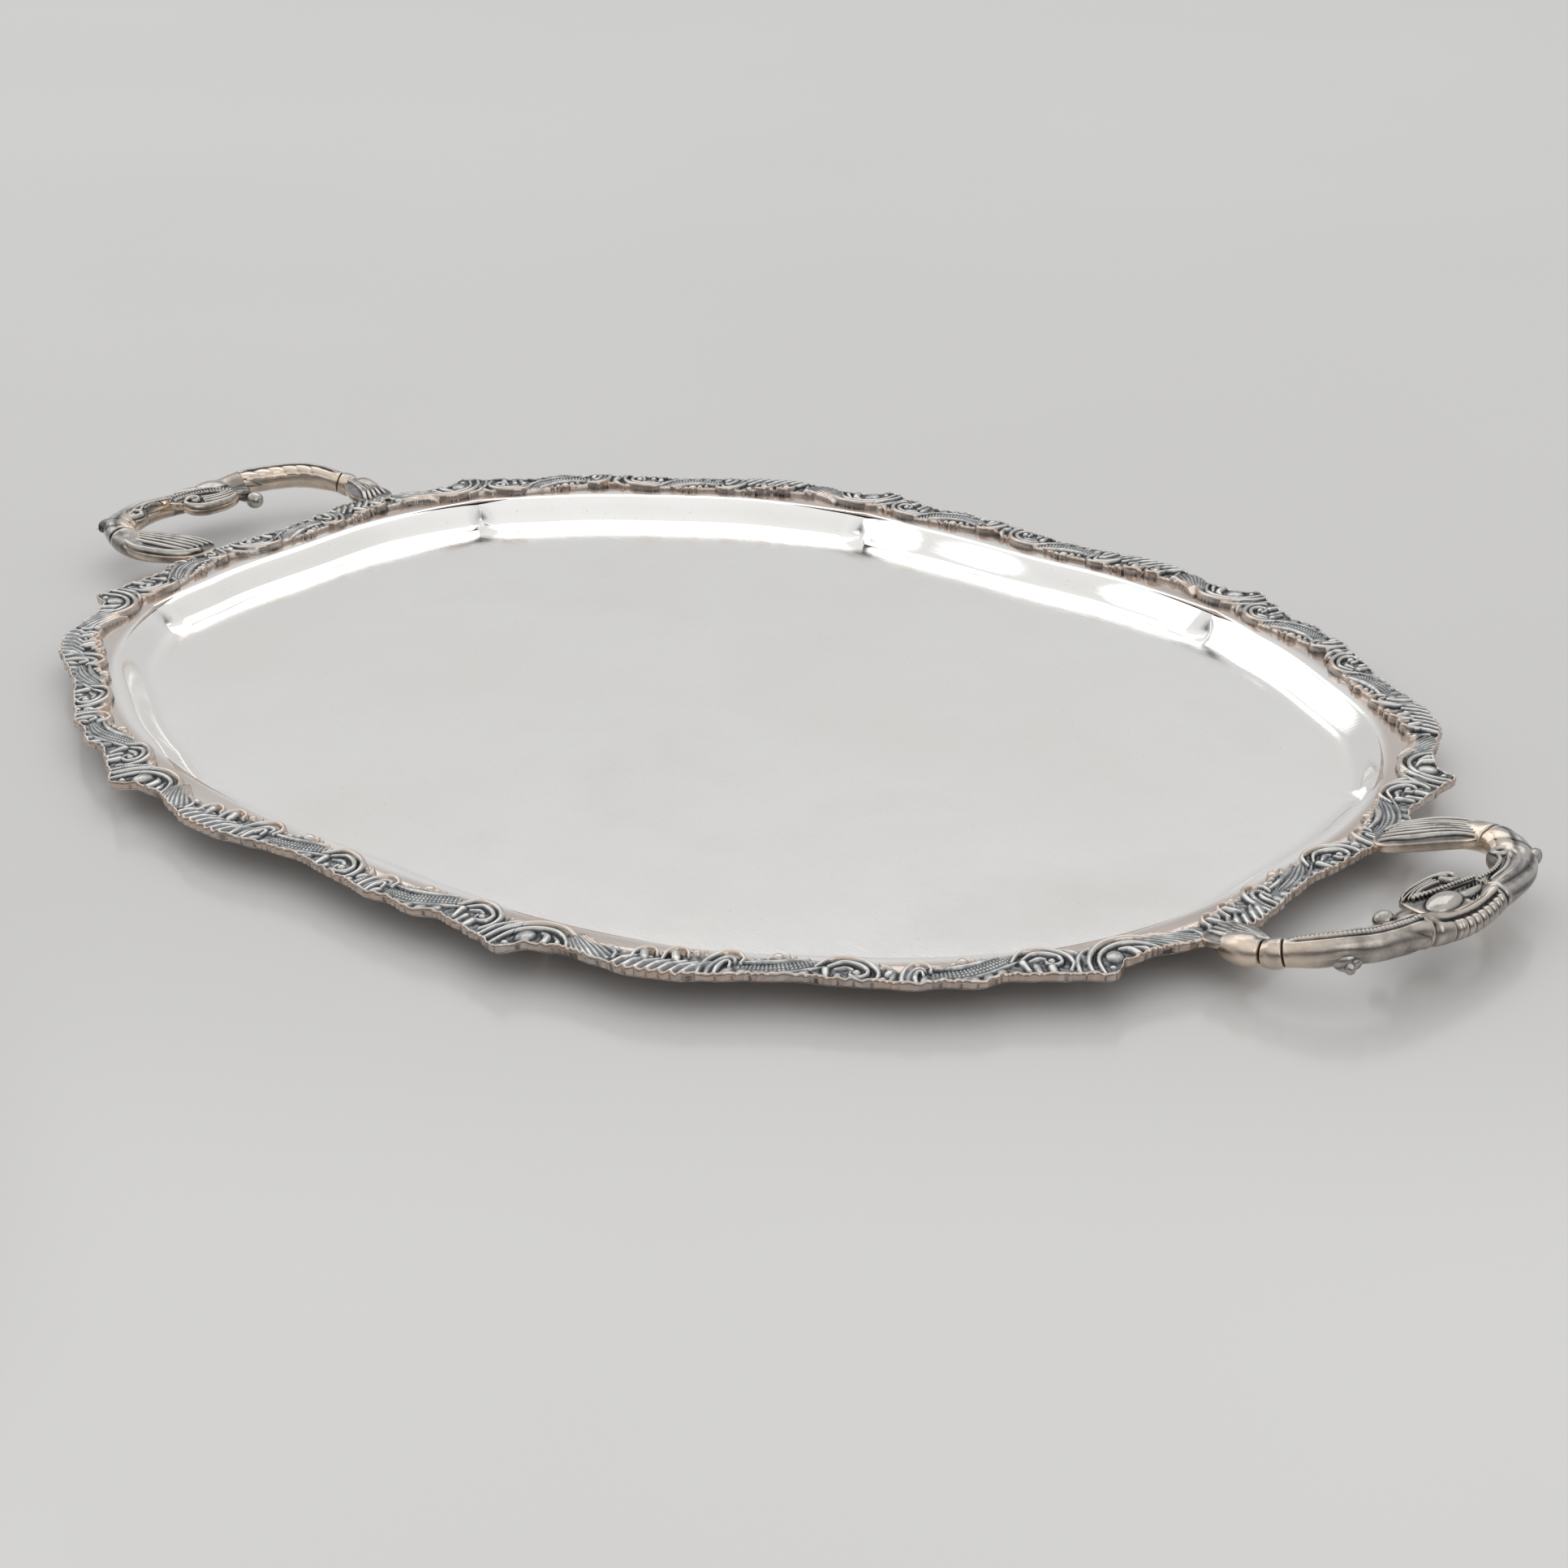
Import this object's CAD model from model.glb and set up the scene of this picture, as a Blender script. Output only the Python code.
"""Oval two-handled silver tray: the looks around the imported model.

The tray body, the eight border sections and the six handle pieces are rebuilt as fine meshes on the
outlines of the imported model. Lengths in the shape functions are millimetres, and every mesh is
scaled to metres as it is made. A cast piece keeps two values at each vertex for its material: how
deep the point lies in the relief, and how far it is on the worn, warm outer side.
"""

import bpy
import numpy as np
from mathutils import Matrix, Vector


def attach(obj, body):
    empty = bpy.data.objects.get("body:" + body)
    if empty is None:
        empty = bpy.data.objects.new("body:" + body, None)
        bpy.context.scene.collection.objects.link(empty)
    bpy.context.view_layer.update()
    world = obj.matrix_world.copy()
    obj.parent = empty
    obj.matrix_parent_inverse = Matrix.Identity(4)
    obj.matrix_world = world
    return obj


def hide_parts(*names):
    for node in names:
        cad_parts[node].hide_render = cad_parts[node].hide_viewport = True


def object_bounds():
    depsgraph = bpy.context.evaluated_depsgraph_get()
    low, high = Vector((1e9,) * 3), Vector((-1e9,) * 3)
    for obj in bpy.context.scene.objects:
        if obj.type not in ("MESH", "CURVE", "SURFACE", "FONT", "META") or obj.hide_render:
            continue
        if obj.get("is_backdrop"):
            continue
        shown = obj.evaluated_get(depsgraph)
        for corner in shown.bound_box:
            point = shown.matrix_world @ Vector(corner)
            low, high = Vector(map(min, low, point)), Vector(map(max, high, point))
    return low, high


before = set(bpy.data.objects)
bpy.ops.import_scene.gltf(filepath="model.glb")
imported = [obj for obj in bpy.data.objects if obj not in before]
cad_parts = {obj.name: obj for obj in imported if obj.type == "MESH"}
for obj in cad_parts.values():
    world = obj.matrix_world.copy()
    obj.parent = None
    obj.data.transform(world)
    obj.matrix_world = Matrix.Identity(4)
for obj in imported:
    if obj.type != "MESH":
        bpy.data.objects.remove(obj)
CAD_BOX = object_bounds()
MM = 0.001

# Driving dimensions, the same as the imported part's.
HALF_L = 265.0
HALF_W = 205.0
OVAL_POWER = 2.34
SHEET_T = 1.2
RIM_Z = 10.5
WAVE_SHARE = 0.8
SECTIONS = 8
HANDLE_Z = 17.0
SECTION_L = 190.7
# Share of a section over which the wall turns into its pleat.
PLEAT_SHARE = 0.04
EDGE = [(0, 5), (0.04, -1.5), (0.1, -3.2), (0.16, -1), (0.22, 1.4), (0.3, 0.6), (0.36, -2.2),
        (0.42, -5), (0.5, -6.8), (0.56, -5.4), (0.63, -4.2), (0.69, -2.2), (0.73, -3.4),
        (0.79, -1.4), (0.84, -4.2), (0.89, -2), (0.94, 0.8), (1, 5)]
WAVE = [(0, 2), (0.25, 0.5), (0.55, -4), (0.8, -2.5), (1, 2)]


# ---------------------------------------------------------------- curves and outlines
def ease(t):
    """A smooth step from 0 to 1."""
    return t * t * (3 - 2 * t)


def fade(x, low, high):
    """0 below low, 1 above high, and a smooth step between them."""
    return ease(np.clip((np.asarray(x, float) - low) / (high - low), 0, 1))


def wave(pairs, f):
    """A smooth curve through a list of (position, value) pairs."""
    table = np.array(pairs, float)
    i = np.clip(np.searchsorted(table[:, 0], f, side="right") - 1, 0, len(table) - 2)
    t = np.clip((f - table[i, 0]) / (table[i + 1, 0] - table[i, 0]), 0, 1)
    return table[i, 1] + (table[i + 1, 1] - table[i, 1]) * ease(t)


def catmull(rows, t):
    """A smooth curve through rows of numbers, at positions counted in rows."""
    rows = np.asarray(rows, float)
    t = np.asarray(t, float)
    last = len(rows) - 1
    i = np.clip(np.floor(t).astype(int), 0, last - 1)
    s = (t - i)[:, None]
    a, b = rows[np.maximum(i - 1, 0)], rows[i]
    c, d = rows[i + 1], rows[np.minimum(i + 2, last)]
    return 0.5 * (2 * b + (c - a) * s + (2 * a - 5 * b + 4 * c - d) * s ** 2
                  + (3 * b - a - 3 * c + d) * s ** 3)


def sin_deg(x):
    return np.sin(np.radians(x))


def outline(u):
    """The mean outline and its outward direction. u counts sections from +X, with pleats at halves.
    The sine terms even out the sections' lengths."""
    turn = 45 * u - 3.54 * sin_deg(90 * u) + 0.67 * sin_deg(180 * u) - 0.09 * sin_deg(270 * u)
    way = np.stack([np.cos(np.radians(turn)), np.sin(np.radians(turn))], -1)
    half = np.array([HALF_L, HALF_W])
    radius = (np.abs(way / half) ** OVAL_POWER).sum(-1) ** (-1 / OVAL_POWER)
    point = way * radius[..., None]
    slope = np.sign(point) * np.abs(point / half) ** (OVAL_POWER - 1) / half
    return point, slope / np.linalg.norm(slope, axis=-1, keepdims=True)


def share(u):
    """How far u lies through its section, from one pleat to the next."""
    return (u + 0.5) % 1.0


def pleat(u):
    """1 on a pleat, 0 away from it."""
    f = share(u)
    return np.maximum(0, 1 - np.minimum(f, 1 - f) / PLEAT_SHARE) ** 1.5


# ---------------------------------------------------------------- meshes
def grid_quads(rows, cols, around=False):
    """Quads of a grid of points that is stored row by row. Around joins its last column to the first."""
    r = np.arange(rows - 1)[:, None]
    c = np.arange(cols if around else cols - 1)[None, :]
    n = (c + 1) % cols
    return np.stack([r * cols + c, r * cols + n, (r + 1) * cols + n, (r + 1) * cols + c],
                    -1).reshape(-1, 4)


def capped_tube(rings, count):
    """Faces of a tube of rings with count points each, with a flat cap at both ends."""
    faces = grid_quads(rings, count, around=True).tolist()
    faces.append(list(range(count))[::-1])
    faces.append(list(range((rings - 1) * count, rings * count)))
    return faces


def in_scene(name, data):
    """A new object in the scene."""
    thing = bpy.data.objects.new(name, data)
    bpy.context.scene.collection.objects.link(thing)
    return thing


def add_mesh(name, parts, values=None):
    """One object from (points in mm, faces) parts. values maps a vertex value's name to its arrays."""
    points, faces, offset = [], [], 0
    for part_points, part_faces in parts:
        points.append(np.asarray(part_points, float).reshape(-1, 3))
        for face in part_faces:
            faces.append([int(k) + offset for k in face])
        offset += len(points[-1])
    mesh = bpy.data.meshes.new(name)
    mesh.from_pydata((np.concatenate(points) * MM).tolist(), [], faces)
    mesh.polygons.foreach_set("use_smooth", np.ones(len(faces), bool))
    for key, arrays in (values or {}).items():
        attribute = mesh.attributes.new(key, "FLOAT", "POINT")
        attribute.data.foreach_set("value", np.concatenate(arrays).astype(np.float32))
    mesh.validate()
    mesh.update()
    return in_scene(name, mesh)


def install(piece, node, material):
    """Put a piece on the one body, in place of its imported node."""
    piece.data.materials.append(material)
    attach(piece, "root")
    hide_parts(node)
    return piece


# ---------------------------------------------------------------- materials
def new_material(name):
    """A new material, its node tree and its shader."""
    material = bpy.data.materials.new(name)
    material.use_nodes = True
    tree = material.node_tree
    return material, tree, tree.nodes["Principled BSDF"]


def add_node(tree, kind, **settings):
    """A node with its properties and input values set by name."""
    node = tree.nodes.new(kind)
    for key, value in settings.items():
        if hasattr(node, key):
            setattr(node, key, value)
        else:
            node.inputs[key].default_value = value
    return node


def noise(tree, scale, detail=3.0, rough=0.5, stretch=None):
    """A noise texture in metres. stretch is a (rotation, scale) that draws it out along a line."""
    where = tree.nodes.new("ShaderNodeTexCoord")
    texture = add_node(tree, "ShaderNodeTexNoise", Scale=scale, Detail=detail, Roughness=rough)
    if stretch is None:
        tree.links.new(where.outputs["Object"], texture.inputs["Vector"])
    else:
        mapping = add_node(tree, "ShaderNodeMapping", Rotation=stretch[0], Scale=stretch[1])
        tree.links.new(where.outputs["Object"], mapping.inputs["Vector"])
        tree.links.new(mapping.outputs["Vector"], texture.inputs["Vector"])
    return texture.outputs["Fac"]


def ramp(tree, source, stops):
    """A colour ramp over a value, from (position, colour) stops."""
    node = tree.nodes.new("ShaderNodeValToRGB")
    elements = node.color_ramp.elements
    while len(elements) < len(stops):
        elements.new(0.5)
    for element, (at, colour) in zip(elements, stops):
        element.position = at
        element.color = (*colour, 1)
    tree.links.new(source, node.inputs["Fac"])
    return node.outputs["Color"]


def remap(tree, source, low, high, to_low, to_high):
    """A value carried from one range to another."""
    node = tree.nodes.new("ShaderNodeMapRange")
    for key, value in (("From Min", low), ("From Max", high), ("To Min", to_low), ("To Max", to_high)):
        node.inputs[key].default_value = value
    tree.links.new(source, node.inputs["Value"])
    return node.outputs["Result"]


def feed(tree, socket, value):
    """Link a socket to another one, or set it to a number or a colour."""
    if isinstance(value, (float, int)):
        socket.default_value = value
    elif isinstance(value, tuple):
        socket.default_value = (*value, 1)
    else:
        tree.links.new(value, socket)


def mix_colour(tree, part, a, b, blend="MIX"):
    """A mix of two colours."""
    node = add_node(tree, "ShaderNodeMix", data_type="RGBA", blend_type=blend)
    for key, value in ((0, part), (6, a), (7, b)):
        feed(tree, node.inputs[key], value)
    return node.outputs[2]


def math_node(tree, operation, a, b):
    """A sum or a product, held between 0 and 1."""
    node = add_node(tree, "ShaderNodeMath", operation=operation, use_clamp=True)
    feed(tree, node.inputs[0], a)
    feed(tree, node.inputs[1], b)
    return node.outputs[0]


def bump(tree, height, strength, distance, under=None):
    """Bumps from a height, which may lie over other bumps."""
    node = add_node(tree, "ShaderNodeBump", Strength=strength, Distance=distance)
    tree.links.new(height, node.inputs["Height"])
    if under is not None:
        tree.links.new(under, node.inputs["Normal"])
    return node.outputs["Normal"]


def sheet_material():
    """Polished sheet silver: a slightly hazy mirror with warm patches and fine scratches."""
    material, tree, shader = new_material("polished_sheet")
    shader.inputs["Metallic"].default_value = 1.0
    patches = noise(tree, 7.0, 4.0, 0.6)
    tint = ramp(tree, patches, [(0.35, (0.93, 0.915, 0.89)), (0.55, (0.95, 0.945, 0.935)),
                                (0.75, (0.90, 0.885, 0.86))])
    specks = noise(tree, 900.0, 2.0, 0.7)
    speck_colour = ramp(tree, specks, [(0.0, (0.72, 0.70, 0.67)), (0.27, (0.8, 0.78, 0.76)),
                                       (0.33, (1.0, 1.0, 1.0))])
    rim = add_node(tree, "ShaderNodeAttribute", attribute_name="rim").outputs["Fac"]
    rim = math_node(tree, "MULTIPLY", rim, remap(tree, patches, 0.3, 0.65, 0.5, 1.0))
    clean = mix_colour(tree, 1.0, tint, speck_colour, "MULTIPLY")
    tree.links.new(mix_colour(tree, rim, clean, (0.56, 0.475, 0.43)), shader.inputs["Base Color"])
    haze = noise(tree, 18.0, 5.0, 0.65)
    tree.links.new(remap(tree, haze, 0.3, 0.75, 0.07, 0.15), shader.inputs["Roughness"])
    along = noise(tree, 60.0, 2.0, 0.6, ((0, 0, 0.5), (1, 26, 1)))
    across = noise(tree, 60.0, 2.0, 0.6, ((0, 0, -0.9), (1, 30, 1)))
    hammer = noise(tree, 13.0, 1.0, 0.4)
    scratched = bump(tree, along, 0.10, 0.0002)
    scratched = bump(tree, across, 0.08, 0.0002, scratched)
    tree.links.new(bump(tree, hammer, 0.12, 0.002, scratched), shader.inputs["Normal"])
    return material


def cast_material(name, bright, middle, dark, warm):
    """Cast silver: bright on the high points, patina in the recesses, warm where the side is worn."""
    material, tree, shader = new_material(name)
    shader.inputs["Metallic"].default_value = 1.0
    depth = add_node(tree, "ShaderNodeAttribute", attribute_name="depth").outputs["Fac"]
    side = add_node(tree, "ShaderNodeAttribute", attribute_name="side").outputs["Fac"]
    mottle = noise(tree, 160.0, 4.0, 0.6)
    grime = math_node(tree, "ADD", depth, remap(tree, mottle, 0.3, 0.7, -0.16, 0.16))
    patina = ramp(tree, grime, [(0.12, bright), (0.36, middle), (0.9, dark)])
    spots = remap(tree, noise(tree, 70.0, 3.0, 0.6), 0.3, 0.6, 0.35, 1.0)
    warm_share = math_node(tree, "MULTIPLY", side, spots)
    clear = remap(tree, grime, 0.42, 0.8, 1.0, 0.1)
    warm_share = math_node(tree, "MULTIPLY", warm_share, clear)
    tree.links.new(mix_colour(tree, warm_share, patina, warm), shader.inputs["Base Color"])
    tree.links.new(remap(tree, grime, 0.0, 1.0, 0.15, 0.42), shader.inputs["Roughness"])
    grain = noise(tree, 1400.0, 2.0, 0.6)
    wear = noise(tree, 420.0, 3.0, 0.55)
    rough = bump(tree, wear, 0.25, 0.0002, bump(tree, grain, 0.15, 0.0001))
    tree.links.new(rough, shader.inputs["Normal"])
    return material


# ---------------------------------------------------------------- tray body
# The sheet's profile, from the well out to the rim: (inset, height, reach at a pleat).
TOP_PROFILE = [(37, 1.2, 5), (34, 1.2, 5), (31.6, 1.55, 5), (29.4, 2.8, 4.2), (27.2, 5.0, 2.8),
               (25.2, 7.2, 1.8), (23.4, 9.0, 1.2), (21.9, 10.15, 0.8), (20.2, 10.5, 0.5),
               (16, 10.5, 0)]
UNDER_PROFILE = [(16, 9.3, 0), (20.3, 9.3, 0.5), (21.9, 8.7, 1.0), (23.8, 6.8, 1.8),
                 (26, 4.5, 2.8), (28.5, 2.2, 4.0), (31, 0.4, 5), (34, 0, 5)]
ROWS_PER_GAP = 3
BODY_STATIONS = 1200
# How strongly the stations crowd together at the pleats.
CROWDING = 0.13
WELL_RINGS = (0.93, 0.8, 0.6, 0.4, 0.2, 0.06)
# How far inside the border's outer edge the sheet ends.
OVERHANG = 1.5
# The rim's top is tarnished beside the border, from the first inset on and fully from the second.
TARNISH_FROM = 21.6
TARNISH_FULL = 18.4
UNDER_TARNISH = 0.8


def body_ring(u, row):
    """One ring of the sheet, from a row of its profile."""
    point, out = outline(u)
    inset = row[0] - WAVE_SHARE * wave(WAVE, share(u)) - row[2] * pleat(u)
    flat = point - out * inset[:, None]
    return np.column_stack([flat, np.full(len(u), row[1])])


def smooth_rows(rows, per_gap):
    return catmull(rows, np.linspace(0, len(rows) - 1, (len(rows) - 1) * per_gap + 1))


def tray_body(material):
    t = np.arange(BODY_STATIONS) / BODY_STATIONS * SECTIONS
    u = t - 0.5 - CROWDING * np.sin(2 * np.pi * t)
    top_rows = smooth_rows(TOP_PROFILE, ROWS_PER_GAP)
    foot = body_ring(u, TOP_PROFILE[0])
    rings = [foot * [k, k, 1] for k in reversed(WELL_RINGS)]
    rings += [body_ring(u, row) for row in top_rows]
    point, out = outline(u)
    edge = point + out * (wave(EDGE, share(u)) - OVERHANG)[:, None]
    for z in (RIM_Z, RIM_Z - SHEET_T):
        rings.append(np.column_stack([edge, np.full(len(u), z)]))
    rings += [body_ring(u, row) for row in smooth_rows(UNDER_PROFILE, ROWS_PER_GAP)]
    sole = body_ring(u, UNDER_PROFILE[-1])
    rings += [sole * [k, k, 1] for k in WELL_RINGS]
    points = np.concatenate(rings)
    point_z = points[:, 2].reshape(len(rings), -1)
    from_edge = np.stack([np.linalg.norm(ring[:, :2] - point, axis=1) for ring in rings])
    tarnish = fade(-from_edge, -TARNISH_FROM, -TARNISH_FULL) * fade(point_z, 9.5, 10.3)
    tarnish[len(WELL_RINGS) + len(top_rows):] = UNDER_TARNISH
    faces = capped_tube(len(rings), BODY_STATIONS)
    piece = add_mesh("tray_body_sheet", [(points, faces)], {"rim": [tarnish.ravel()]})
    return install(piece, "tray_body", material)


# ---------------------------------------------------------------- border relief
# The ornament of one section, drawn on its flat length s and its distance inwards v, in mm. It
# repeats at every section, and a stroke may run over the joint into the next one.
GROUND = 1.5
RELIEF_TOP = 3.7
LIFT = 0.78
GROUND_EDGE = [(0, 13.5), (0.05, 15.5), (0.105, 13), (0.14, 10.8), (0.19, 11.5), (0.24, 12.2),
               (0.3, 14.5), (0.35, 17), (0.4, 17), (0.46, 18.6), (0.52, 18.5), (0.56, 19.4),
               (0.6, 18.5), (0.64, 15), (0.67, 12.5), (0.7, 14), (0.75, 15.5), (0.82, 17.3),
               (0.87, 18.4), (0.92, 18), (0.96, 14.4), (1, 13.5)]
S_POINTS = 736
V_POINTS = 84
# Inner end of the height field, past the ornament.
FIELD_TO = 21.5
LOBE_PITCH = 3.75
# Rows of the border's outer wall: below the rim in mm if negative, or a share of the relief's height.
TUCK = 0.4
WALL_ROWS = (-TUCK, 0.0, 0.3, 0.6, 0.85)


class Relief:
    """A height field over one section, raised by strokes."""

    def __init__(self):
        self.s = np.linspace(0, SECTION_L, S_POINTS)[:, None] * np.ones((1, V_POINTS))
        f = self.s[:, 0] / SECTION_L
        lobes = np.abs(np.sin(np.pi * (self.s[:, 0] - 37.6) / LOBE_PITCH))
        fan = fade(self.s[:, 0], 36, 38) * (1 - fade(self.s[:, 0], 63, 65))
        knocks = 0.40 * np.abs(np.sin(1.05 * self.s[:, 0] + 1.7 * np.sin(0.31 * self.s[:, 0])))
        knocks *= fade(self.s[:, 0], 0, 4) * (1 - fade(self.s[:, 0], SECTION_L - 4, SECTION_L))
        self.outer = -wave(EDGE, f) + fan * 0.9 * (1 - lobes) + (1 - fan) * knocks
        self.inner = wave(GROUND_EDGE, f)
        k = np.linspace(0, 1, V_POINTS)
        self.v = self.outer[:, None] + (FIELD_TO - self.outer[:, None]) * k[None, :]
        inside = 1 - fade(self.v, self.inner[:, None] - 0.5, self.inner[:, None] + 0.3)
        ripple = 0.12 * np.sin(2.1 * self.s + 0.8 * self.v) * np.sin(1.3 * self.v - 0.4 * self.s)
        self.h = -0.35 + inside * (GROUND + 0.35 + ripple)

    def near(self, curve, reach):
        """Points of the field within reach of a curve, and for each its distance, side and place."""
        low, high = curve.min(0) - reach, curve.max(0) + reach
        for shift in (-SECTION_L, 0, SECTION_L):
            s = self.s + shift
            mask = ((s > low[0]) & (s < high[0]) & (self.v > low[1]) & (self.v < high[1]))
            if not mask.any():
                continue
            p = np.column_stack([s[mask], self.v[mask]])
            a, b = curve[:-1], curve[1:]
            ab = b - a
            length = np.maximum((ab ** 2).sum(1), 1e-9)
            t = np.clip(((p[:, None] - a[None]) * ab[None]).sum(2) / length, 0, 1)
            gap = p[:, None] - (a[None] + t[..., None] * ab[None])
            d2 = (gap ** 2).sum(2)
            j = d2.argmin(1)
            rows = np.arange(len(p))
            steps = np.concatenate([[0], np.cumsum(np.sqrt(length))])
            place = steps[j] + t[rows, j] * np.sqrt(length[j])
            g, w = gap[rows, j], ab[j]
            side = np.sign(w[:, 0] * g[:, 1] - w[:, 1] * g[:, 0])
            yield mask, np.sqrt(d2[rows, j]), side, place, steps[-1]

    def stroke(self, points, half, height, base=GROUND, ribs=0.0, lines=0, deep=0.35, lean=0.0):
        """A rounded ridge along a curve. half and height are numbers or lists along its length.
        ribs is the pitch of cross cuts, lines is a count of cuts along it, deep is how deep they
        are, and lean tips the ridge over to one side."""
        count = max(12, 8 * len(points))
        curve = catmull(points, np.linspace(0, len(points) - 1, count))
        halves, heights = np.atleast_1d(half).astype(float), np.atleast_1d(height).astype(float)
        for mask, d, side, place, length in self.near(curve, halves.max()):
            t = place / length
            w = np.interp(t, np.linspace(0, 1, len(halves)), halves)
            top = np.interp(t, np.linspace(0, 1, len(heights)), heights)
            x = np.clip(d / np.maximum(w, 0.05), 0, 1)
            round_top = np.sqrt(1 - x ** 2)
            cut = np.zeros(len(d))
            if ribs:
                cut = np.maximum(cut, 1 - np.abs(np.sin(np.pi * place / ribs)) ** 0.7)
            if lines:
                cut = np.maximum(cut, 1 - np.abs(np.sin(np.pi * (side * x + 1) * lines / 2)) ** 0.6)
            h = base + LIFT * top * (round_top * (1 + lean * side * x)) - deep * cut * (round_top > 0.2)
            old = self.h[mask]
            self.h[mask] = np.where(d < w, np.maximum(old, h), old)

    def strokes(self, at, size, drawn):
        """Ridges drawn around a place, as rows of (points, half widths, heights, pitch of the cuts)."""
        for pairs, half, height, ribs in drawn:
            points = [(at[0] + size * a, at[1] + size * b) for a, b in pairs]
            self.stroke(points, half, height, ribs=ribs)

    def pearl(self, s, v, r, height, base=GROUND, stretch=1.0, angle=0.0):
        """A round or oval bead."""
        a = np.radians(angle)
        for shift in (-SECTION_L, 0, SECTION_L):
            x, y = self.s + shift - s, self.v - v
            along = (x * np.cos(a) + y * np.sin(a)) / (r * stretch)
            across = (-x * np.sin(a) + y * np.cos(a)) / r
            q = along ** 2 + across ** 2
            h = base + LIFT * height * np.sqrt(np.clip(1 - q, 0, 1))
            self.h = np.where(q < 1, np.maximum(self.h, h), self.h)

    def leaf_fan(self, s, v, r0, r1, a0, a1, count, height, cup=0.5):
        """Fine flutes that spread from a focus, between two angles in degrees."""
        x, y = self.s - s, self.v - v
        r, a = np.hypot(x, y), np.degrees(np.arctan2(y, x))
        t = (a - a0) / (a1 - a0)
        w = (r - r0) / (r1 - r0)
        mask = (t > 0) & (t < 1) & (w > 0) & (w < 1)
        flute = np.abs(np.sin(np.pi * t * count + 0.9 * w))
        body = np.sqrt(np.clip(1 - (2 * t - 1) ** 2, 0, 1)) * fade(w, 0, 0.25) * (1 - cup * fade(w, 0.6, 1))
        h = GROUND + height * body - 0.6 * (1 - flute ** 0.7)
        self.h = np.where(mask, np.maximum(self.h, h), self.h)


def blur(field, sigma_s, sigma_v):
    """A soft copy of a field, with its spread in points along each axis."""
    for axis, sigma in ((0, sigma_s), (1, sigma_v)):
        reach = int(3 * sigma) + 1
        kernel = np.exp(-0.5 * (np.arange(-reach, reach + 1) / sigma) ** 2)
        kernel /= kernel.sum()
        pad = [(reach, reach) if k == axis else (0, 0) for k in range(2)]
        padded = np.pad(field, pad, mode="wrap" if axis == 0 else "edge")
        out = np.zeros_like(field)
        for k, weight in enumerate(kernel):
            cut = [slice(None), slice(None)]
            cut[axis] = slice(k, k + field.shape[axis])
            out += weight * padded[tuple(cut)]
        field = out
    return field


def scroll(relief, at, size=1.0):
    """A C scroll that stands on the outer edge and curls over inwards, with a ribbed inner band."""
    relief.strokes(at, size, [
        ([(0.8, -1), (0, 6), (1.4, 12.2), (4.8, 16.8), (9.0, 17.2), (11.8, 14.6), (11.6, 11.4)],
         [0.7, 1.1, 1.2, 1.1, 0.8], [1.2, 1.7, 2.1, 2.0, 1.5], 0),
        ([(3.2, 1), (2.6, 6.8), (4, 11.6), (6.4, 14.2), (8.8, 13.9), (9.6, 11.5)],
         [0.8, 1.2, 1.2, 0.8], [0.8, 1.3, 1.5, 1.2], 0.85 * size),
        ([(5.6, 2), (5.2, 7), (6.3, 10.6), (8, 11.2), (8.6, 8.6)],
         [0.9, 1.1, 0.9, 0.7], [1.3, 1.9, 1.9, 1.4], 0)])
    s, v = at
    relief.pearl(s + 8.6 * size, v + 5.2 * size, 1.7 * size, 1.6, stretch=1.9, angle=70)


def acanthus(relief, spine, pearls):
    """A hatched leaf along a rising spine, a smooth fold above it, and pearls on its inner edge."""
    spine = np.array(spine, float)
    relief.stroke(spine + [0, -0.2], [1.6, 3.6, 4.3, 3.8, 1.0], [0.7, 1.0, 1.3, 1.3, 0.6],
                  ribs=1.3, lines=5, deep=0.8)
    relief.stroke(spine[:4] + [1.2, 3.6], [0.7, 1.2, 1.4, 0.9], [1.0, 1.8, 1.9, 1.3])
    relief.stroke(spine[1:] + [1.5, -3.6], [0.5, 0.9, 0.8, 0.4], [0.9, 1.4, 1.4, 0.8])
    for s, v, r in pearls:
        relief.pearl(s, v - 0.6, 1.15 * r, 0.7 + 0.6 * r)


def volute(relief, eye, size=1.0):
    """A spiral scroll around a pearl, with a second ridge inside the first."""
    relief.strokes(eye, size, [
        ([(-13.5, 3.5), (-9.5, 8.4), (-3.5, 9), (2.6, 6.6), (6.4, 1.6), (6.6, -3.2), (4.4, -7)],
         [0.7, 1.1, 1.3, 1.2, 1.0, 0.7], [1.3, 2.0, 2.3, 2.2, 1.9, 1.3], 0),
        ([(-9.5, 4), (-5, 6.6), (-0.3, 5.3), (3.2, 2), (3, -1.6), (0.4, -2.9), (-1.9, -1.6), (-2, 0.6)],
         [0.6, 1.0, 1.1, 1.0, 0.8, 0.6], [1.2, 1.8, 2.0, 1.9, 1.7, 1.5], 0),
        ([(-7, 2.4), (-3.6, 3.4), (-1.6, 2.6)], [0.7, 1.2, 0.8], [1.0, 1.3, 1.0], 0),
        ([(-1.2, -3.8), (-1.9, -9.4)], [1.6, 1.3], [1.9, 1.4], 0),
        ([(-10, 1.6), (-9.2, -4)], [1.5, 0.9], [1.9, 1.2], 0),
        ([(-6, -1.4), (-6.2, -7)], [1.3, 1.1], [1.2, 1.2], 0),
        ([(7.2, 7), (10.2, 3.6), (11.4, -1), (10.4, -5)],
         [0.6, 1.3, 1.3, 0.7], [0.9, 1.4, 1.4, 0.9], 0.9)])
    relief.pearl(*eye, 1.5 * size, 1.9)


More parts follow.
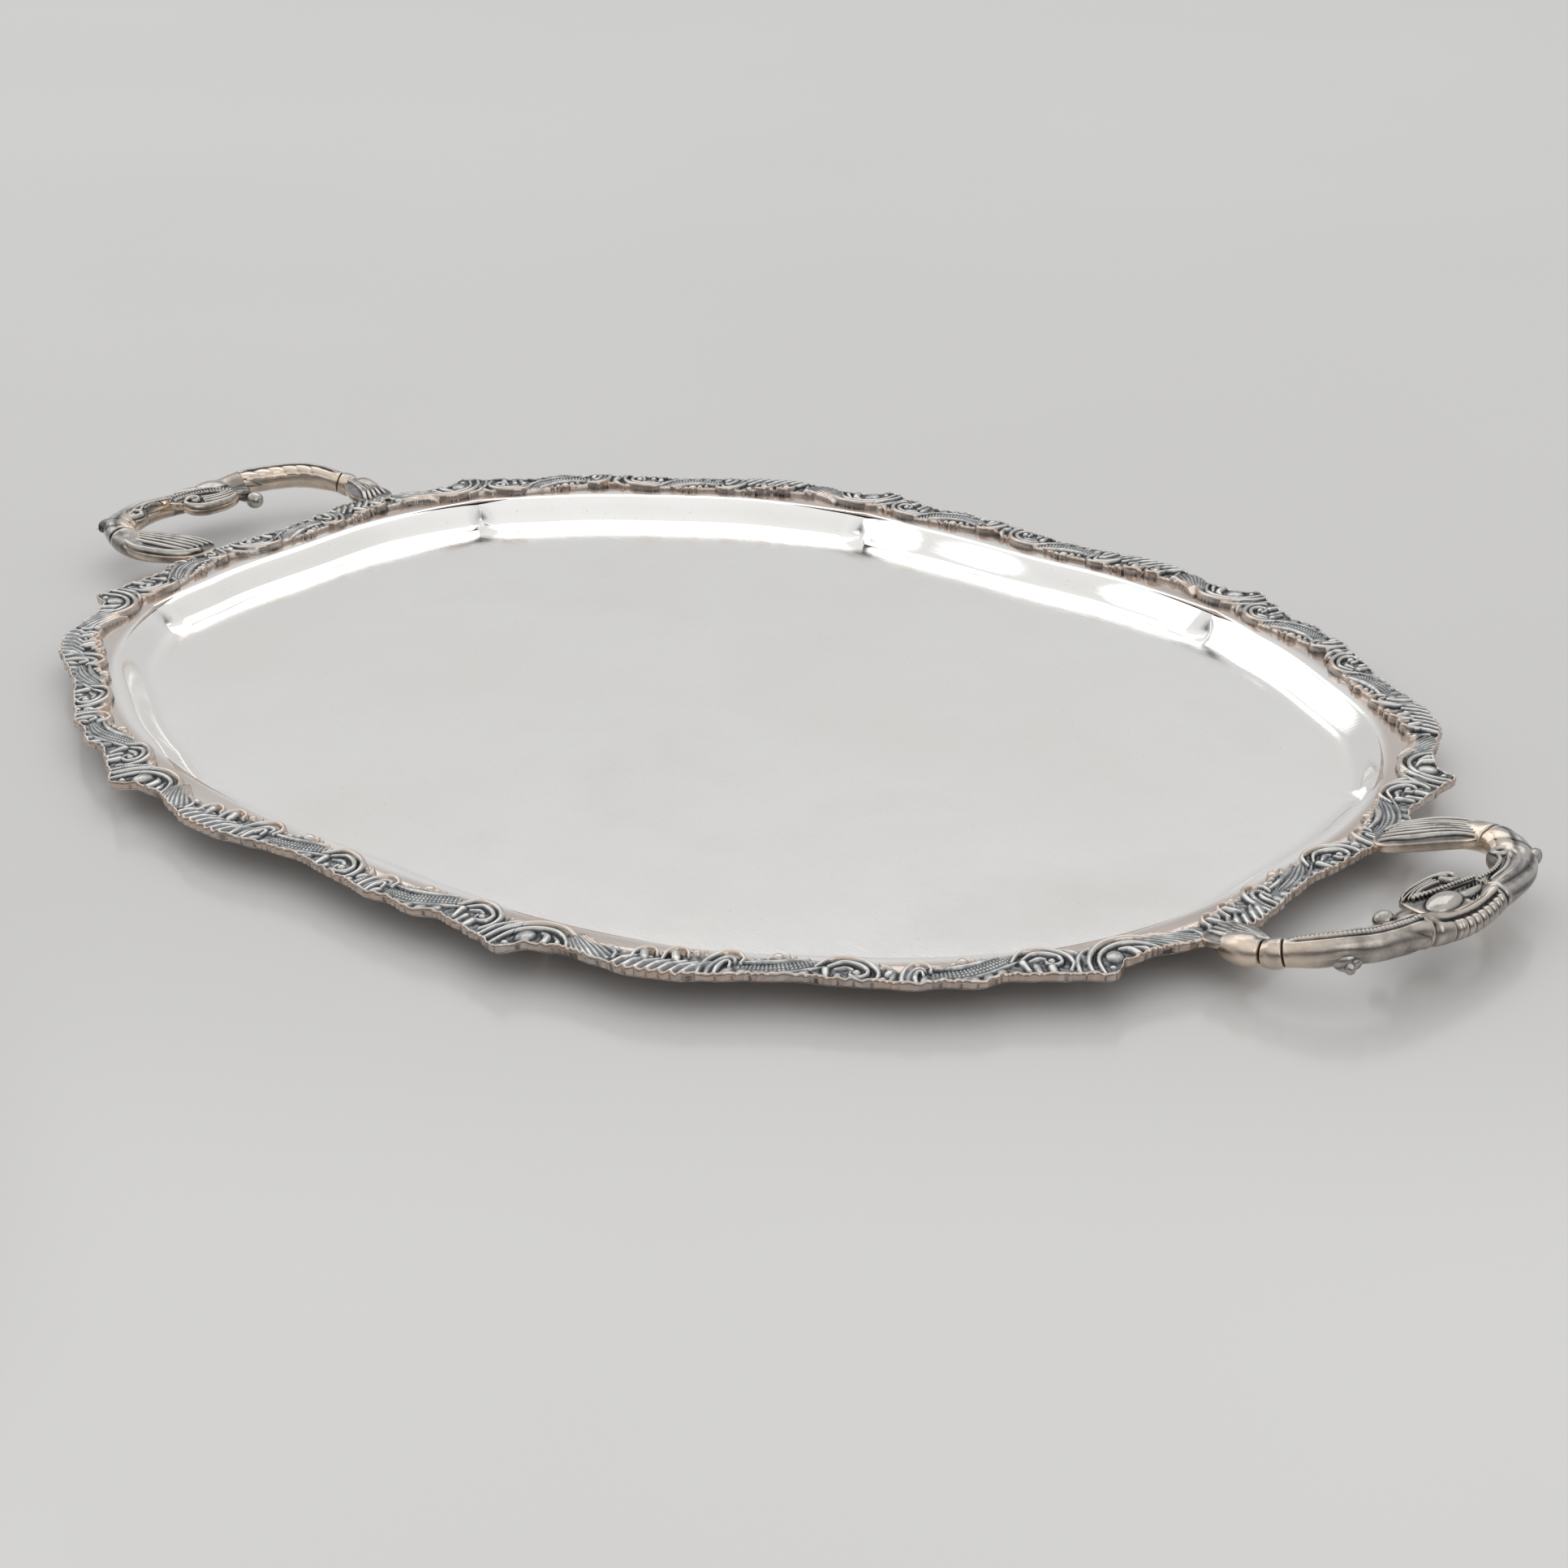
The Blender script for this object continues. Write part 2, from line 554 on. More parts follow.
def border_pattern():
    """The raised pattern of one section, in order along it."""
    relief = Relief()
    # The oval volute over the joint between two sections.
    relief.stroke([(-9.4, -1), (-7.6, 6.5), (-3.6, 11.6), (2.4, 14.6)], [0.7, 1.1, 1.0, 0.5],
                  [1.0, 1.6, 1.6, 0.9], ribs=0.9)
    relief.stroke([(-6, -3), (-4.4, 5), (-0.4, 10.8), (5, 14.2), (10.5, 14.9), (16, 13.6),
                   (20.8, 9.8), (24, 4), (25.4, -0.5)],
                  [0.7, 1.1, 1.4, 1.3, 1.1, 0.7], [1.4, 2.1, 2.4, 2.3, 2.0, 1.3])
    relief.stroke([(-2.6, -3), (-1.4, 4), (1.2, 8.4), (5.4, 11), (10.2, 11.8), (14.6, 10.6),
                   (18.4, 7), (20.8, 2), (21.4, -1)],
                  [0.6, 0.9, 1.1, 1.0, 0.9, 0.6], [1.2, 1.7, 1.9, 1.9, 1.6, 1.1])
    relief.pearl(4.6, 5.2, 3.0, 2.1, stretch=1.25, angle=70)
    relief.stroke([(8.4, 9.0), (11.0, 7.6), (12.2, 4), (11.8, 0.4)], [0.7, 1.6, 1.5, 0.9],
                  [1.3, 2.1, 2.0, 1.3])
    relief.stroke([(13.4, 8.4), (16, 5.6), (16.8, 1.8)], [0.6, 1.2, 0.9], [1.0, 1.7, 1.2])
    relief.pearl(1.0, -0.6, 1.2, 1.1)
    relief.pearl(7.8, -0.4, 1.2, 1.1)
    # The fluted leaf.
    relief.leaf_fan(9.5, 19.5, 9, 30.5, -56, -22, 9, 1.7)
    relief.stroke([(20, 12.2), (26, 10.8), (31.5, 9.6), (35.4, 7.4), (36.4, 4)], [0.5, 0.9, 1.0, 0.8],
                  [0.8, 1.3, 1.6, 1.5])
    relief.pearl(34.6, 9.4, 1.5, 1.9, stretch=1.3, angle=-30)
    relief.pearl(33.6, 1.2, 1.1, 1.2)
    # The fan of lobes, with two shells behind it.
    for k in range(7):
        s = 39.4 + LOBE_PITCH * k
        foot = -float(wave(EDGE, s / SECTION_L))
        relief.stroke([(s - 1.4, foot + 0.2), (s + 0.6, foot + 3.8), (s + 4.4, foot + 8.8)], [1.5, 2.2, 1.3],
                      [1.4, 1.9, 1.1], lean=0.8)
    for s, v in ((45.2, 8.6), (54.8, 11)):
        relief.stroke([(s - 3.4, v - 3.6), (s - 3.5, v + 0.6), (s - 1.2, v + 3.6), (s + 2.2, v + 3.4),
                       (s + 3.6, v + 1)],
                      [0.6, 0.9, 1.0, 0.9, 0.6], [1.3, 1.9, 2.2, 2.0, 1.4], base=GROUND + 0.4)
        relief.stroke([(s - 0.8, v + 0.8), (s + 0.8, v - 2.4), (s + 2.4, v - 4.8)], [1.7, 1.6, 0.8],
                      [2.0, 1.9, 1.0], base=GROUND + 0.4)
    relief.pearl(50.2, 12.6, 1.1, 1.5)
    relief.pearl(60.2, 14.8, 1.6, 1.9)
    relief.pearl(57.9, 16.0, 1.0, 1.4)
    relief.pearl(62.6, 16.6, 0.9, 1.2)
    # Scroll, hatched leaf and volute, twice.
    scroll(relief, (64.2, 0.3))
    acanthus(relief, [(75, 9), (82, 9.6), (89, 11.2), (95.5, 14), (101, 17)],
             [(86.6, 18.6, 1.8), (83.6, 16.8, 1.1), (89.6, 19.6, 1.1), (81, 15.4, 0.8), (92.2, 19.4, 0.7)])
    for s, v in ((77.5, 6.6), (82.4, 6.2), (87.2, 6.8), (92, 8.2), (96.6, 8.4)):
        relief.pearl(s, v, 1.9, 1.3, stretch=1.35, angle=75)
    volute(relief, (113.2, 9.6))
    relief.pearl(123.6, 9.4, 1.7, 1.9, stretch=1.5, angle=60)
    relief.pearl(121.4, 5.6, 1.4, 1.4)
    scroll(relief, (127.2, 0.8), 0.8)
    acanthus(relief, [(136.5, 8), (143.5, 7.8), (150.5, 9.2), (158, 12.6), (165.4, 16.6)],
             [(147.6, 16.2, 1.8), (144.4, 14.4, 1.1), (150.9, 16.4, 1.1), (141.8, 13.2, 0.8),
              (153.8, 17.2, 0.7)])
    for s, v in ((139.5, 3.8), (144.4, 3.2), (149.3, 3.6), (154, 4.6), (158.6, 6.4)):
        relief.pearl(s, v, 1.9, 1.3, stretch=1.35, angle=75)
    volute(relief, (175.6, 9.2), 0.92)
    return relief


def section_relief():
    """The finished relief, how deep each of its points lies, and how far it is on the outer side."""
    relief = border_pattern()
    from_edge = relief.v - relief.outer[:, None]
    wall_top = 2.5 + 0.3 * np.sin(0.9 * relief.s + 2 * np.sin(0.23 * relief.s))
    lip = np.maximum(relief.h, wall_top) - 1.1 * np.clip(1 - from_edge / 0.7, 0, 1) ** 2
    height = np.where(from_edge < 0.9, lip, relief.h)
    height = blur(np.minimum(height, RELIEF_TOP), 0.7, 0.6)
    low = blur(height, 4.0, 3.6) - height
    fine = blur(height, 1.4, 1.3) - height
    depth = 0.47 + 0.45 * low + 1.5 * fine + 0.10 * (2.2 - height)
    inner_edge = fade(relief.v, relief.inner[:, None] - 3.0, relief.inner[:, None] - 0.6)
    depth = depth * (0.35 + 0.65 * fade(from_edge, 0, 1.3)) * (1 - 0.6 * inner_edge)
    side = np.maximum(1 - fade(from_edge, 0.1, 1.3), 0.85 * inner_edge)
    return relief, height, np.clip(depth, 0, 1), side


def border_sections(material):
    relief, height, depth, side = section_relief()
    f = relief.s[:, 0] / SECTION_L
    beat = np.abs(np.sin(0.33 * relief.s[:, 0] + 1.9 * np.sin(0.17 * relief.s[:, 0])))
    notch = 0.8 * (1 - fade(beat, 0.05, 0.45))
    flutes = 0.22 * notch + 0.10 * np.sin(1.1 * relief.s[:, 0] + 1.1 * np.sin(0.7 * relief.s[:, 0]))
    for i in range(1, SECTIONS + 1):
        point, out = outline(i - 1.5 + f)
        columns = []
        for k in WALL_ROWS:
            z = RIM_Z + (k if k < 0 else k * height[:, 0])
            inwards = relief.outer + (1 - max(k, 0)) * (0.25 + 4 * flutes * f * (1 - f))
            flat = point - out * inwards[:, None]
            columns.append(np.column_stack([flat, z * np.ones(S_POINTS)])[:, None])
        top = point[:, None] - out[:, None] * relief.v[..., None]
        columns.append(np.concatenate([top, (RIM_Z + height)[..., None]], 2))
        inner = columns[-1][:, -1:].copy()
        inner[..., 2] = RIM_Z - TUCK
        grid = np.concatenate(columns + [inner], 1)
        faces = capped_tube(*grid.shape[:2])
        wall = np.ones((S_POINTS, len(WALL_ROWS)))
        depths = np.concatenate([wall * (0.24 + 0.55 * notch)[:, None], depth, wall[:, :1]], 1).ravel()
        sides = np.concatenate([wall, side, wall[:, :1] * 0], 1).ravel()
        piece = add_mesh(f"border_relief_{i}", [(grid.reshape(-1, 3), faces)],
                         {"depth": [depths], "side": [sides]})
        install(piece, f"border_section_{i}", material)


# ---------------------------------------------------------------- handles
# Middle line of the right handle: (x, y, height over HANDLE_Z, half width, half height). In plan it
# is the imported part's, and some widths differ a little. From the cartouche on it lies lower, which
# makes room for the castings on top, and its last row lies over the border.
HANDLE = [(261.4, -55.7, -6.4, 3.5, 2.5), (265.8, -57.2, -5, 5, 4.6), (272.3, -57.5, -4.4, 5.8, 5.4),
          (276.8, -56.8, -4, 4.1, 4.1), (280.2, -55.9, -3.4, 5, 5), (284.7, -53.8, -2.4, 4.7, 4.6),
          (291.7, -50.3, -1, 5.2, 5.2), (298.2, -44.7, 0, 5.3, 5.3), (303.3, -37.9, 0, 5.3, 5.3),
          (306.8, -29.6, 0, 5.3, 5.3), (308.9, -20.6, -0.2, 5.6, 5.2), (311, -11.7, -1.4, 6.3, 4.7),
          (312.1, -2.2, -2.2, 6.6, 4.4), (312.2, 7.2, -2.2, 6.4, 4.3), (311.8, 16.2, -1.8, 5.6, 4.4),
          (310.9, 25.2, -1.4, 6.2, 4.6), (308.1, 35.6, -1.2, 7.2, 4.8), (302.1, 45.1, -1.0, 7.2, 5.0),
          (293.7, 51.3, -0.8, 6.2, 5.1), (285.3, 53.7, -1.7, 6.2, 4.8), (277.3, 52.4, -3.2, 6.2, 4.2),
          (270.3, 46.8, -4.8, 6.0, 3.4), (264.3, 40.7, -5.8, 4.6, 2.6), (259.5, 35.4, -6.4, 3, 1.6)]
CARTOUCHE_FROM = 10
CARTOUCHE_TO = 14
# Plan outlines of the flat castings that lie on the handle.
LEAF_RIM = [(295.6, -9.6), (293, -7.2), (291.2, -1.5), (291, 5), (291.7, 11), (294, 15.4), (298, 16.6),
            (301.4, 15.2), (303.6, 17.4), (307, 18.6), (311, 16.6), (313.2, 10), (313.4, 3),
            (313, -4), (311, -10.4), (306.6, -13.2), (300, -11.8)]
CURL_RIM = [(312.4, 20), (313.6, 27), (312.6, 34), (309.6, 40.4), (304.6, 44.6), (299.4, 44.8),
            (297.2, 41.2), (297.4, 36.6), (300, 33.4), (303.4, 30.4), (305.4, 25), (307.4, 19.6)]
ROOT_RIM = [(287.4, 54.6), (284, 59), (277.6, 59.4), (270.6, 58), (264, 53.6), (258.8, 46.6), (256.4, 39),
            (257.6, 32.6), (262.4, 29.4), (268, 31.8), (273.4, 35.8), (279.4, 40.4), (285.6, 44.8),
            (288, 49.6)]
PLAIN_ROOT_RIM = [(257, -60.6), (254.6, -54), (257.6, -47.6), (264, -45.4), (270.4, -47.2), (276, -50.4),
                  (279.4, -54), (276, -57.4), (270, -59.6), (263, -62)]
BEAD_LINE = [(306.6, 17.4, 3.4), (307.2, 24.6, 3.8), (305.8, 30.6, 4.2), (302.6, 34.6, 3.9),
             (299.0, 37.4, 3.0)]


def closed(points, count):
    """A smooth closed curve through plan points."""
    ring = np.array(list(points) + list(points[:3]), float)
    t = 1 + np.arange(count) / count * len(points)
    return catmull(ring, t)


def ridge(x, y, path, half, height):
    """How much a rounded ridge along a plan path raises each point. half may vary along it."""
    curve = catmull(path, np.linspace(0, len(path) - 1, 14 * len(path)))
    gap = np.hypot(x.ravel()[:, None] - curve[None, :, 0], y.ravel()[:, None] - curve[None, :, 1])
    j = gap.argmin(1)
    half = np.atleast_1d(half)
    halves = np.interp(j / (len(curve) - 1), np.linspace(0, 1, len(half)), half)
    q = np.clip(gap[np.arange(len(j)), j] / halves, 0, 1)
    return (height * np.sqrt(1 - q ** 2)).reshape(x.shape)


class Casting:
    """The parts of one handle piece, with the values that its material reads."""

    def __init__(self):
        self.parts, self.depth, self.side = [], [], []

    def add(self, points, faces, depth, side=0.0):
        count = len(points)
        self.parts.append((points, faces))
        self.depth.append(np.broadcast_to(np.asarray(depth, float).ravel(), (count,)))
        self.side.append(np.broadcast_to(np.asarray(side, float).ravel(), (count,)))

    def sweep(self, rows, start, stop, steps, sides, carve, warm=None):
        """A tube along rows. carve gives its swelling in mm at (place in rows, angle in radians)."""
        t = np.linspace(start, stop, steps + 1)
        r = catmull(rows, t)
        last = len(rows) - 1
        ahead = catmull(rows, np.minimum(t + 0.05, last)) - catmull(rows, np.maximum(t - 0.05, 0))
        way = ahead[:, :3] / np.linalg.norm(ahead[:, :3], axis=1, keepdims=True)
        side = np.column_stack([way[:, 1], -way[:, 0], np.zeros(len(t))])
        side /= np.linalg.norm(side, axis=1, keepdims=True)
        up = np.cross(side, way)
        up *= np.sign(up[:, 2:3])
        angle = np.linspace(0, 2 * np.pi, sides, endpoint=False)
        tt, aa = t[:, None] * np.ones((1, sides)), angle[None, :] * np.ones((len(t), 1))
        swell = carve(tt, aa)
        wide = (r[:, 3:4] + swell) * np.cos(aa)
        tall = (r[:, 4:5] + swell) * np.sin(aa)
        middle = r[:, :3] + [0, 0, HANDLE_Z]
        points = middle[:, None] + side[:, None] * wide[..., None] + up[:, None] * tall[..., None]
        sunk = blur(swell, 5, 4) - swell
        depth = np.clip(0.30 + 2.0 * sunk, 0, 1)
        self.add(points.reshape(-1, 3), capped_tube(len(t), sides), depth, warm(tt, aa) if warm else 0.0)

    def bead(self, at, radii, turn=0.0, depth=0.15, carve=None, rings=28, side=0.0):
        """An oval bead, which may be carved, turned about the upright."""
        lat = np.linspace(-np.pi / 2, np.pi / 2, rings + 1)[1:-1]
        lon = np.linspace(0, 2 * np.pi, 2 * rings, endpoint=False)
        la, lo = lat[:, None] * np.ones((1, len(lon))), lon[None] * np.ones((len(lat), 1))
        cut = carve(la, lo) if carve else np.zeros_like(la)
        ball = np.stack([np.sin(la), np.cos(la) * np.cos(lo), np.cos(la) * np.sin(lo)], -1)
        ball = ball * (1 + cut)[..., None] * np.array(radii)
        tips = np.array([[-radii[0], 0, 0], [radii[0], 0, 0]])
        points = np.concatenate([ball.reshape(-1, 3), tips])
        c, s = np.cos(turn), np.sin(turn)
        points = points @ np.array([[c, s, 0], [-s, c, 0], [0, 0, 1]]) + np.array(at)
        n, rows = len(lon), len(lat)
        faces = grid_quads(rows, n, around=True)[:, ::-1].tolist()
        a, b = rows * n, rows * n + 1
        for k in range(n):
            j = (k + 1) % n
            faces.append([a, j, k])
            faces.append([b, (rows - 1) * n + k, (rows - 1) * n + j])
        deep = np.concatenate([np.clip(depth - 3 * cut.ravel(), 0, 0.6), [depth, depth]])
        self.add(points, faces, deep, side)

    def cushion(self, rim, middle, low, crown, carve, belly=2.5, rings=54, spokes=190):
        """A domed flat casting over a plan outline. low(x, y) is the height of its rim over HANDLE_Z,
        crown its dome, carve(x, y) the relief on it, and belly how far it reaches down."""
        edge = closed(rim, spokes)
        k = np.sin(np.linspace(0, 1, rings + 1)[1:] * np.pi / 2)
        flat = np.array(middle) + (edge - np.array(middle))[None] * k[:, None, None]
        x, y = flat[..., 0], flat[..., 1]
        dome = np.sqrt(np.clip(1 - k ** 2, 0, 1))[:, None]
        relief = carve(x, y)
        soft = fade(1 - k, 0, 0.05)[:, None]
        z = HANDLE_Z + low(x, y)
        up = z + crown * dome + relief * soft
        down = z - belly * dome ** 0.35
        centre_z = HANDLE_Z + float(low(np.array(middle[0]), np.array(middle[1])))
        tips = np.array([[*middle, centre_z + crown + float(relief[0].mean())], [*middle, centre_z - belly]])
        points = np.concatenate([np.stack([x, y, up], -1).reshape(-1, 3),
                                 np.stack([x, y, down], -1)[:-1][::-1].reshape(-1, 3), tips])
        n = 2 * rings - 1
        faces = grid_quads(n, spokes, around=True)[:, ::-1].tolist()
        a, b = n * spokes, n * spokes + 1
        for i in range(spokes):
            j = (i + 1) % spokes
            faces.append([a, i, j])
            faces.append([b, (n - 1) * spokes + j, (n - 1) * spokes + i])
        sunk = blur(up[::-1].T, 3, 3).T[::-1] - up
        deep = np.clip(0.42 + 1.9 * sunk - 0.12 * relief, 0, 1)
        deep = np.concatenate([deep.ravel(), np.full((rings - 1) * spokes, 0.4), [deep[0, 0], 0.4]])
        outer = 0 * up + fade(k, 0.93, 0.99)[:, None]
        side = np.concatenate([outer.ravel(), np.ones((rings - 1) * spokes), [0, 1]])
        self.add(points, faces, deep, side)

    def beads(self, line, start, stop, pitch, radius):
        """A row of small beads along a line, between two shares of its length."""
        t = np.linspace(0, len(line) - 1, 400)
        path = catmull(line, t)
        steps = np.concatenate([[0], np.cumsum(np.linalg.norm(np.diff(path, axis=0), axis=1))])
        for d in np.arange(steps[-1] * start, steps[-1] * stop, pitch):
            x, y, z = (float(np.interp(d, steps, path[:, k])) for k in range(3))
            self.bead((x, y, HANDLE_Z + z), (radius, radius, radius), 0, 0.1, rings=8)

    def finish(self, name, node, material, turned):
        parts = self.parts
        if turned:
            parts = [(points * [-1, -1, 1], faces) for points, faces in parts]
        piece = add_mesh(name, parts, {"depth": self.depth, "side": self.side})
        return install(piece, node, material)


def wrapped(a, centre):
    """The angle from a centre, between minus and plus half a turn."""
    return (a - centre + np.pi) % (2 * np.pi) - np.pi


def dents(t, places, width):
    """Narrow round grooves across a tube, at places counted in rows."""
    return sum(np.exp(-((t - place) / width) ** 2) for place in places)


def plain_arm():
    """The smooth arm: a ball and a knob at the root, a beaded line, a bud and a root leaf."""
    cast = Casting()

    def carve(t, a):
        off = np.abs(wrapped(a, np.radians(88)))
        start = fade(t, 5.0, 5.5)
        beads = 0.55 * np.exp(-(off / 0.13) ** 2) * start * np.abs(np.sin(np.pi * t * 6.5)) ** 0.7
        groove = -0.4 * np.exp(-((off - 0.27) / 0.07) ** 2) * start
        inner = np.exp(-((wrapped(a, np.radians(140)) / 0.5) ** 2))
        inner = 0.35 * start * np.abs(np.sin(5 * a)) ** 0.6 * inner
        leaf = 0.5 * fade(t, 8.7, 9.8) * (np.abs(np.sin(2.5 * a + 2.2 * t)) ** 0.6 - 0.5)
        lobes = 0.55 * (np.abs(np.sin(np.pi * (1.4 * t + 0.45 * a))) ** 0.7 - 0.6) * start
        leaf = leaf + lobes * np.exp(-((wrapped(a, np.radians(128)) / 0.45) ** 2)) * fade(t, 5.6, 6.2)
        necks = -1.3 * dents(t, (3.02,), 0.11) - 0.8 * dents(t, (4.72,), 0.06)
        hollow = -0.9 * np.exp(-((t - 6.9) / 0.5) ** 2 - (wrapped(a, np.radians(-28)) / 0.6) ** 2)
        return beads + groove + inner + leaf + necks + hollow

    def warm(t, a):
        root = (1.0 - 0.7 * fade(t, 5, 7.5)) * fade(np.cos(wrapped(a, np.radians(-20))), -0.5, 0.4)
        return np.maximum(root, fade(np.cos(a - np.pi), 0.1, 0.7))

    cast.sweep(HANDLE, 0, CARTOUCHE_FROM, 520, 84, carve, warm)

    def swirl(la, lo):
        return 0.10 * np.abs(np.sin(2 * lo + 2.0 * la)) ** 0.7 - 0.05

    cast.bead((300.0, -46.4, HANDLE_Z - 3.0), (4.6, 3.0, 3.4), np.radians(38), 0.2, swirl)
    cast.bead((301.9, -47.6, HANDLE_Z - 4.2), (2.6, 1.9, 2.2), np.radians(-38), 0.05)

    def veins(x, y):
        paths = [[(257.6, -52 + 2.6 * k), (264, -54.4 + 1.9 * k), (271, -54.6 + 0.9 * k),
                  (277.4, -54 + 0.2 * k)] for k in (-2, -1, 0, 1, 2)]
        return np.minimum(sum(ridge(x, y, path, [0.6, 1.2, 0.9, 0.4], 0.75) for path in paths), 1.0)

    cast.cushion(PLAIN_ROOT_RIM, (266, -53.6), lambda x, y: -3.2 + 0.10 * (x - 266), 2.3, veins)
    return cast


def cartouche():
    """The middle piece: cuts on the outer side, a smooth tongue, a leaf with a scroll, and a ball."""
    cast = Casting()

    def carve(t, a):
        along = (t - CARTOUCHE_FROM) / (CARTOUCHE_TO - CARTOUCHE_FROM)
        side = fade(np.cos(wrapped(a, np.radians(-10))), 0.15, 0.6)
        cut = np.abs(np.sin(np.pi * (along - 0.32) * 11.5)) ** 0.45
        ribs = np.where(along > 0.32, 1.25 * (cut - 0.75), 0.3) * fade(1 - along, 0.0, 0.03)
        ledge = -0.9 * np.exp(-((along - 0.28) / 0.022) ** 2) - 1.1 * np.exp(-((along - 0.07) / 0.03) ** 2)
        edge = -1.0 * np.exp(-(wrapped(a, np.radians(58)) / 0.16) ** 2)
        return side * (ribs + ledge) + edge * fade(along, 0.08, 0.2)

    cast.sweep(HANDLE, CARTOUCHE_FROM, CARTOUCHE_TO, 420, 110, carve, lambda t, a: 0.25 + 0 * t)

    def relief(x, y):
        tongue = 2.1 * np.sqrt(np.clip(1 - ((x - 307.2) / 4.9) ** 2 - ((y + 4.4) / 7.6) ** 2, 0, 1))
        tail = ridge(x, y, [(308.2, 1), (309.6, 6), (310, 11.6)], [2.2, 1.7, 0.7], 1.0)
        hatch = -1.1 * fade(y, 2, 5) * fade(x, 305, 307) * (1 - 0.5 * np.abs(np.sin(2.1 * x + 1.3 * y)))
        rolled = ridge(x, y, [(294.4, -8.6), (292.6, -3), (292.3, 4), (293, 10.4), (295.6, 14.6), (299, 15),
                              (301.2, 12.6), (300.6, 9.8), (298.4, 8.8), (296.8, 10.4), (297.6, 12.2)],
                       [0.8, 1.1, 1.2, 1.2, 0.9, 0.7], 1.7)
        paths = [[(295.4 + k, -8.6 + 0.3 * k), (294.4 + 0.8 * k, -2), (294.4 + 0.9 * k, 3.4),
                  (295 + 1.1 * k, 8 - 0.4 * k)] for k in (0, 1.5, 3.0)]
        folds = [ridge(x, y, path, [0.4, 0.75, 0.8, 0.4], 1.15) for path in paths]
        band = ridge(x, y, [(297, -6.4), (301, -0.8), (303.6, 6.4), (304.8, 16)], [0.6, 1.0, 1.1, 0.9], 1.1)
        bead = np.sin(5.4 * y) * 0.22 * (band > 0.75)
        raised = np.maximum.reduce([tongue, tail, rolled, band + bead] + folds)
        return np.where(raised > 0.05, raised, hatch)

    cast.cushion(LEAF_RIM, (302, 2), lambda x, y: 1.3 + 0.09 * (x - 302) - 0.9 * fade(-x, -297, -290), 1.8,
                 relief, 3.6, 76, 260)
    cast.beads([(298.2, -7.6, 2.8), (301.8, -1.2, 4.2), (304.2, 6.4, 4.6), (305.6, 16, 4.0)], 0, 1, 1.45, 0.7)
    stem = [(308, -15, -2.4, 3, 2.6), (303, -17.4, -3.2, 2.6, 2.4), (298, -18.6, -3.8, 2.2, 2.2),
            (295, -17.6, -3.6, 1.8, 2)]
    cast.sweep(stem, 0, len(stem) - 1, 60, 40, lambda t, a: 0.25 * np.abs(np.sin(2 * a)))
    cast.bead((293.8, -16.4, HANDLE_Z - 3.1), (3.7, 3.7, 3.5), 0, 0.1)

    def notch(la, lo):
        return -0.16 * np.exp(-(wrapped(lo, np.pi / 2) / 0.3) ** 2)

    cast.bead((299.4, -13.2, HANDLE_Z - 0.4), (4.8, 1.9, 1.9), np.radians(74), 0.3, notch)
    cast.bead((303, -15.6, HANDLE_Z - 0.6), (4.8, 1.8, 1.9), np.radians(62), 0.3, notch)
    cast.bead((311.4, 18, HANDLE_Z + 0.2), (2.5, 2.5, 2.5), 0, 0.02)
    return cast


